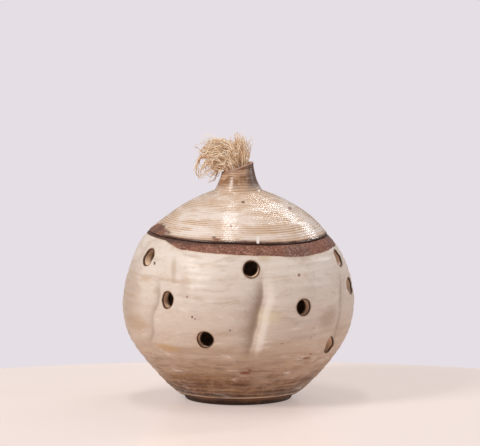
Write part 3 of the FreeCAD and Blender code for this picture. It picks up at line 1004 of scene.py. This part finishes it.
LOCKS = {
    "upright_fibres": [
        (80, [(1.6, -9.6, 3.0), (1.7, -2, 3.2), (1.8, 4, 3.2), (1.2, 10, 3.2), (0.6, 15.0, 2.9),
              (0.4, 18.5, 2.6)], 1.0),
        (22, [(0.6, -9.6, 3.0), (-0.4, 0, 3.0), (-1.2, 7, 3.0), (-2.6, 12, 2.6),
              (-3.6, 16.5, 2.0)], 1.2),
        (10, [(2.5, -9.6, 2.5), (3.6, 0, 2.2), (4.4, 5, 1.8), (5.0, 11, 1.6), (5.8, 16, 1.4)], 1.2),
    ],
    "drooping_fibres": [
        (150, [(-1.6, -9.6, 3.6), (-2.6, -2, 4.2), (-4.4, 4, 5.0), (-8.6, 8.0, 5.6),
               (-13.4, 8.6, 5.2), (-18.0, 7.4, 4.2)], 2.2),
        (95, [(-2.6, -9.6, 3.0), (-4.0, -1.6, 3.4), (-7.4, 2.4, 3.8), (-11.4, 3.0, 3.6),
              (-15.4, 1.0, 3.2), (-18.0, -2.0, 2.6)], 2.2),
        (44, [(-1.0, -9.6, 3.0), (-2.0, 3.0, 3.4), (-5.2, 10.0, 3.2), (-10.0, 12.6, 2.8),
              (-14.6, 12.4, 2.4), (-17.0, 10.6, 2.4)], 1.8),
        (8, [(-5.0, -1.0, 2.0), (-9.0, 0.5, 2.0), (-13.0, -3.6, 1.6), (-16.4, -9.4, 1.4)], 0.6),
    ],
    "curled_fibres": [
        (5, [(-12.0, 6.0, 2.6), (-18.4, 6.0, 1.8), (-22.4, 3.2, 1.4), (-23.6, -1.6, 1.2),
             (-22.4, -5.4, 1.0), (-19.2, -6.2, 1.2), (-17.6, -3.4, 1.6)], 0.9),
        (4, [(-11.0, 3.0, 2.6), (-16.4, 3.4, 1.8), (-19.8, 0.4, 1.2), (-19.4, -4.0, 1.2),
             (-16.6, -6.6, 1.4)], 0.9),
        (7, [(-10.0, 8.0, 3.0), (-16.0, 9.6, 2.4), (-21.0, 8.4, 2.2), (-24.0, 4.4, 2.0)], 1.6),
    ],
}
TANGLED = 130
STRAND_POINTS = 9
KINK_SCALE = 330.0
FIBRE_INPUTS = [
    ("Lines", "NodeSocketGeometry", None), ("Fibre radius", "NodeSocketFloat", 0.00032),
    ("Frizz", "NodeSocketFloat", 0.0012), ("Sides", "NodeSocketInt", 5), ("Points", "NodeSocketInt", 22),
    ("Seed", "NodeSocketInt", 7),
]


def on_lock(places, share):
    """The place and the spread on the smooth line through a lock's places."""
    spot = share * (len(places) - 1)
    number = min(int(spot), len(places) - 2)
    near = [Vector(places[min(max(number + step, 0), len(places) - 1)]) for step in (-1, 0, 1, 2)]
    t = spot - number
    x, height, spread = 0.5 * (2 * near[1] + (near[2] - near[0]) * t
                               + (2 * near[0] - 5 * near[1] + 4 * near[2] - near[3]) * t * t
                               + (3 * near[1] - near[0] - 3 * near[2] + near[3]) * t ** 3)
    return Vector((x, 0, height)), spread


def strand_in(places, messy, draw):
    """One strand's places: it keeps its own side of the lock and wanders off it."""
    turn = draw.uniform(0, 2 * math.pi)
    away = math.sqrt(draw.random()) * 0.95
    last = draw.uniform(0.72, 1.0)
    seed = draw.uniform(0, 1000)
    strand = []
    for number in range(STRAND_POINTS):
        share = last * number / (STRAND_POINTS - 1)
        spot, spread = on_lock(places, share)
        ahead = on_lock(places, min(share + 0.02, 1.0))[0] - on_lock(places, max(share - 0.02, 0.0))[0]
        ahead.normalize()
        side = ahead.cross(Vector((0, 1, 0))).normalized()
        offset = side * math.cos(turn) + Vector((0, 1, 0)) * math.sin(turn)
        place = spot + offset * away * spread
        wander = Vector([noise.noise(Vector((seed, share * 3.0, far))) for far in (0, 9, 18)])
        place += wander * messy * 5.0 * share
        place += wander.yzx * 1.2 * math.sin(share * 17 + seed) * ease(share * 3)
        strand.append(place)
    return strand


def tangled_strand(draw):
    """A short strand that lies across the drooping mass."""
    start = Vector((draw.uniform(-15, -0.5), draw.uniform(-5.5, 5.0), draw.uniform(1.5, 10)))
    heading = draw.uniform(0, 2 * math.pi)
    length = draw.uniform(6, 12)
    curl = draw.uniform(-0.7, 0.7)
    strand = []
    for number in range(STRAND_POINTS):
        share = number / (STRAND_POINTS - 1)
        turn = heading + curl * share
        reach = Vector((math.cos(turn), 0.35 * math.sin(3 * turn), 0.6 * math.sin(turn)))
        strand.append(start + reach * length * (share - 0.5))
    return strand


def fibre_tree(material):
    """Geometry Nodes that turn lines into tapered, frizzy fibres."""
    tree = bpy.data.node_groups.new("fibres_from_lines", "GeometryNodeTree")
    nodes = Nodes(tree)
    for name, kind, value in FIBRE_INPUTS:
        socket = tree.interface.new_socket(name, in_out="INPUT", socket_type=kind)
        if value is not None:
            socket.default_value = value
    tree.interface.new_socket("Fibres", in_out="OUTPUT", socket_type="NodeSocketGeometry")

    def given(name):
        return nodes.add("NodeGroupInput", {}, {}, name)

    def store(geometry, name, value, domain):
        return nodes.add("GeometryNodeStoreNamedAttribute", {"data_type": "FLOAT", "domain": domain},
                         {"Geometry": geometry, "Name": name, "Value": value})

    index = nodes.add("GeometryNodeInputIndex", {}, {})
    drawn = nodes.add("FunctionNodeRandomValue", {"data_type": "FLOAT"},
                      {"ID": index, "Seed": given("Seed")}, 1)
    share = nodes.add("GeometryNodeSplineParameter", {}, {}, "Factor")
    lines = nodes.add("GeometryNodeMeshToCurve", {}, {"Mesh": given("Lines")})
    smooth = nodes.add("GeometryNodeCurveSplineType", {"spline_type": "CATMULL_ROM"}, {"Curve": lines})
    even = nodes.add("GeometryNodeResampleCurve", {}, {"Curve": smooth, "Count": given("Points")})
    known = store(store(even, "strand", drawn, "CURVE"), "share", share, "POINT")
    kinks = nodes.add("ShaderNodeTexNoise", {}, {"Scale": KINK_SCALE, "Detail": 1.0}, "Color")
    centred = nodes.add("ShaderNodeVectorMath", {"operation": "SUBTRACT"}, {0: kinks, 1: (0.5, 0.5, 0.5)})
    shift = nodes.add("ShaderNodeVectorMath", {"operation": "SCALE"},
                      {0: centred, "Scale": share * given("Frizz") * 2.4})
    frizzed = nodes.add("GeometryNodeSetPosition", {}, {"Geometry": known, "Offset": shift})
    taper = nodes.add("ShaderNodeMapRange", {}, {"Value": share, "From Min": 0.55, "From Max": 1.0,
                                                 "To Min": 1.0, "To Max": 0.25})
    thickness = nodes.add("ShaderNodeMapRange", {}, {"Value": drawn, "To Min": 0.7, "To Max": 1.25})
    width = taper * thickness
    sized = nodes.add("GeometryNodeSetCurveRadius", {}, {"Curve": frizzed, "Radius": width})
    section = nodes.add("GeometryNodeCurvePrimitiveCircle", {}, {"Resolution": given("Sides"),
                                                                 "Radius": given("Fibre radius")})
    tubes = nodes.add("GeometryNodeCurveToMesh", {}, {"Curve": sized, "Profile Curve": section,
                                                      "Fill Caps": True, "Scale": width})
    real = nodes.add("GeometryNodeRealizeInstances", {}, {"Geometry": tubes})
    dressed = nodes.add("GeometryNodeSetMaterial", {}, {"Geometry": real, "Material": material})
    nodes.add("NodeGroupOutput", {}, {"Fibres": dressed})
    return tree


def make_fibres(name, strands, tree, seed):
    """A plain mesh of fibres that follow strands of places in millimetres over the neck's middle."""
    lines = bpy.data.meshes.new(name + "_lines")
    places = [(place + Vector((0, 0, NECK_MIDDLE))) * MM for strand in strands for place in strand]
    edges = [(first, first + 1) for start in range(0, len(places), STRAND_POINTS)
             for first in range(start, start + STRAND_POINTS - 1)]
    lines.from_pydata(places, edges, [])
    maker = placed(name + "_maker", lines)
    fibres = maker.modifiers.new("fibres", "NODES")
    fibres.node_group = tree
    names = {item.name: item.identifier for item in tree.interface.items_tree if item.in_out == "INPUT"}
    fibres[names["Seed"]] = seed
    bpy.context.view_layer.update()
    evaluated = maker.evaluated_get(bpy.context.evaluated_depsgraph_get())
    mesh = bpy.data.meshes.new_from_object(evaluated)
    mesh.name = name
    bpy.data.objects.remove(maker)
    mesh.polygons.foreach_set("use_smooth", [True] * len(mesh.polygons))
    return placed(name, mesh)


def make_tuft(material):
    draw = random.Random(41)
    tree = fibre_tree(material)
    pieces = {}
    for seed, (name, locks) in enumerate(LOCKS.items(), 7):
        strands = [strand_in(places, messy, draw) for count, places, messy in locks for _ in range(count)]
        if name == "drooping_fibres":
            strands += [tangled_strand(draw) for _ in range(TANGLED)]
        pieces[name] = make_fibres(name, strands, tree, seed)
    return pieces


# Stage, light and camera, in metres

TABLE_RADIUS = 0.36
TABLE_MIDDLE = (0.0, -0.225)
TABLE_THICKNESS = 0.02
TABLE_SIDES = 160
FACED_HEIGHT = 0.07
ROOM_LIGHT = 0.26

# Panels of light: name, place, width and height, power, colour, and the way that the width lies

PANELS = [
    ("key", (-1.6, -1.2, 1.45), (0.7, 0.7), 38.0, (1.0, 0.985, 0.965), (1.0, 0.0, 0.0)),
    ("window", (0.80, 1.14, 1.29), (1.3, 0.17), 9.0, (1.0, 0.99, 1.0), (0.81, 0.12, -0.58)),
    ("side_window", (1.7, 0.30, 0.46), (0.35, 0.5), 5.0, (0.97, 0.98, 1.0), (0.0, 1.0, 0.0)),
    ("right_fill", (1.6, -0.9, 0.8), (0.8, 0.8), 5.0, (0.98, 0.98, 1.0), (1.0, 0.0, 0.0)),
    ("overhead", (-0.15, 0.05, 1.6), (0.14, 1.0), 6.0, (1.0, 1.0, 1.0), (1.0, 0.0, 0.0)),
]

# The photograph's angle: about 9 degrees above the foot, from far off

CAMERA_AIM = Vector((0.00097, 0.0, 0.099))
CAMERA_DISTANCE = 2.5
CAMERA_RISE = 0.297
CAMERA_LENS = 333.3


def make_stage():
    mesh = bpy.data.meshes.new("floor")
    middle = Vector((*TABLE_MIDDLE, 0.0))
    sides = range(TABLE_SIDES)
    top = [middle + polar(90 + 360 * n / TABLE_SIDES, TABLE_RADIUS, 0.0) for n in sides]
    under = [place - Vector((0.0, 0.0, TABLE_THICKNESS)) for place in top]
    faces = [tuple(sides), tuple(n + TABLE_SIDES for n in reversed(sides))]
    for n in sides:
        before = (n - 1) % TABLE_SIDES
        faces.append((n, before, before + TABLE_SIDES, n + TABLE_SIDES))
    mesh.from_pydata(top + under, [], faces)
    mesh.materials.append(floor_finish())
    floor = placed("floor", mesh)


def make_panels():
    """Soft panels that face the pot."""
    for name, place, size, power, colour, long_way in PANELS:
        light = bpy.data.lights.new(name, "AREA")
        light.shape = "RECTANGLE"
        light.size, light.size_y = size
        light.energy = power
        light.color = colour
        back = (Vector(place) - Vector((0.0, 0.0, FACED_HEIGHT))).normalized()
        wide = Vector(long_way)
        wide = (wide - back * wide.dot(back)).normalized()
        turn = Matrix((wide, back.cross(wide), back)).transposed().to_4x4()
        placed(name, light).matrix_world = Matrix.Translation(place) @ turn


def make_room():
    """Soft light from all round, and a pale lilac wall behind."""
    world = bpy.data.worlds.new("room_light")
    world.use_nodes = True
    nodes = Nodes(world.node_tree)
    straight = nodes.add("ShaderNodeLightPath", {}, {}, "Is Camera Ray")
    through = nodes.add("ShaderNodeLightPath", {}, {}, "Is Transmission Ray")
    seen = straight.maths("MAXIMUM", straight, through)
    wall = nodes.add("ShaderNodeBackground", {}, {"Color": srgb(229, 222, 228)})
    soft = nodes.add("ShaderNodeBackground", {}, {"Color": (1.0, 0.97, 0.96, 1.0), "Strength": ROOM_LIGHT})
    choice = nodes.add("ShaderNodeMixShader", {}, {0: seen, 1: soft, 2: wall})
    nodes.add("ShaderNodeOutputWorld", {}, {"Surface": choice})
    bpy.context.scene.world = world


def make_camera():
    lens = bpy.data.cameras.new("camera")
    lens.sensor_width = 36.0
    lens.lens = CAMERA_LENS
    lens.clip_end = 50.0
    camera = placed("camera", lens)
    level = math.sqrt(CAMERA_DISTANCE ** 2 - CAMERA_RISE ** 2)
    camera.location = CAMERA_AIM + Vector((0.0, -level, CAMERA_RISE))
    camera.rotation_euler = (CAMERA_AIM - camera.location).to_track_quat("-Z", "Y").to_euler()
    bpy.context.scene.camera = camera
    bpy.context.scene.view_settings.view_transform = "Standard"


# Making

make_camera()
make_stage()
make_panels()
make_room()

pot = make_pot(pot_glaze())
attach(pot, "pot")
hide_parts("pot")

lid = make_lid(lid_glaze())
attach(lid, "lid")
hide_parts("lid")

fibres = make_tuft(fibre_finish())
stands_for = {"upright_fibres": ("upright_lock", "tuft_shank"), "drooping_fibres": ("drooping_lock",),
              "curled_fibres": ("curled_lock",)}
for name, piece in fibres.items():
    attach(piece, "lid")
    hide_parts(*stands_for[name])

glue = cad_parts["glue_plug"]
glue.data.materials.clear()
glue.data.materials.append(glue_finish())
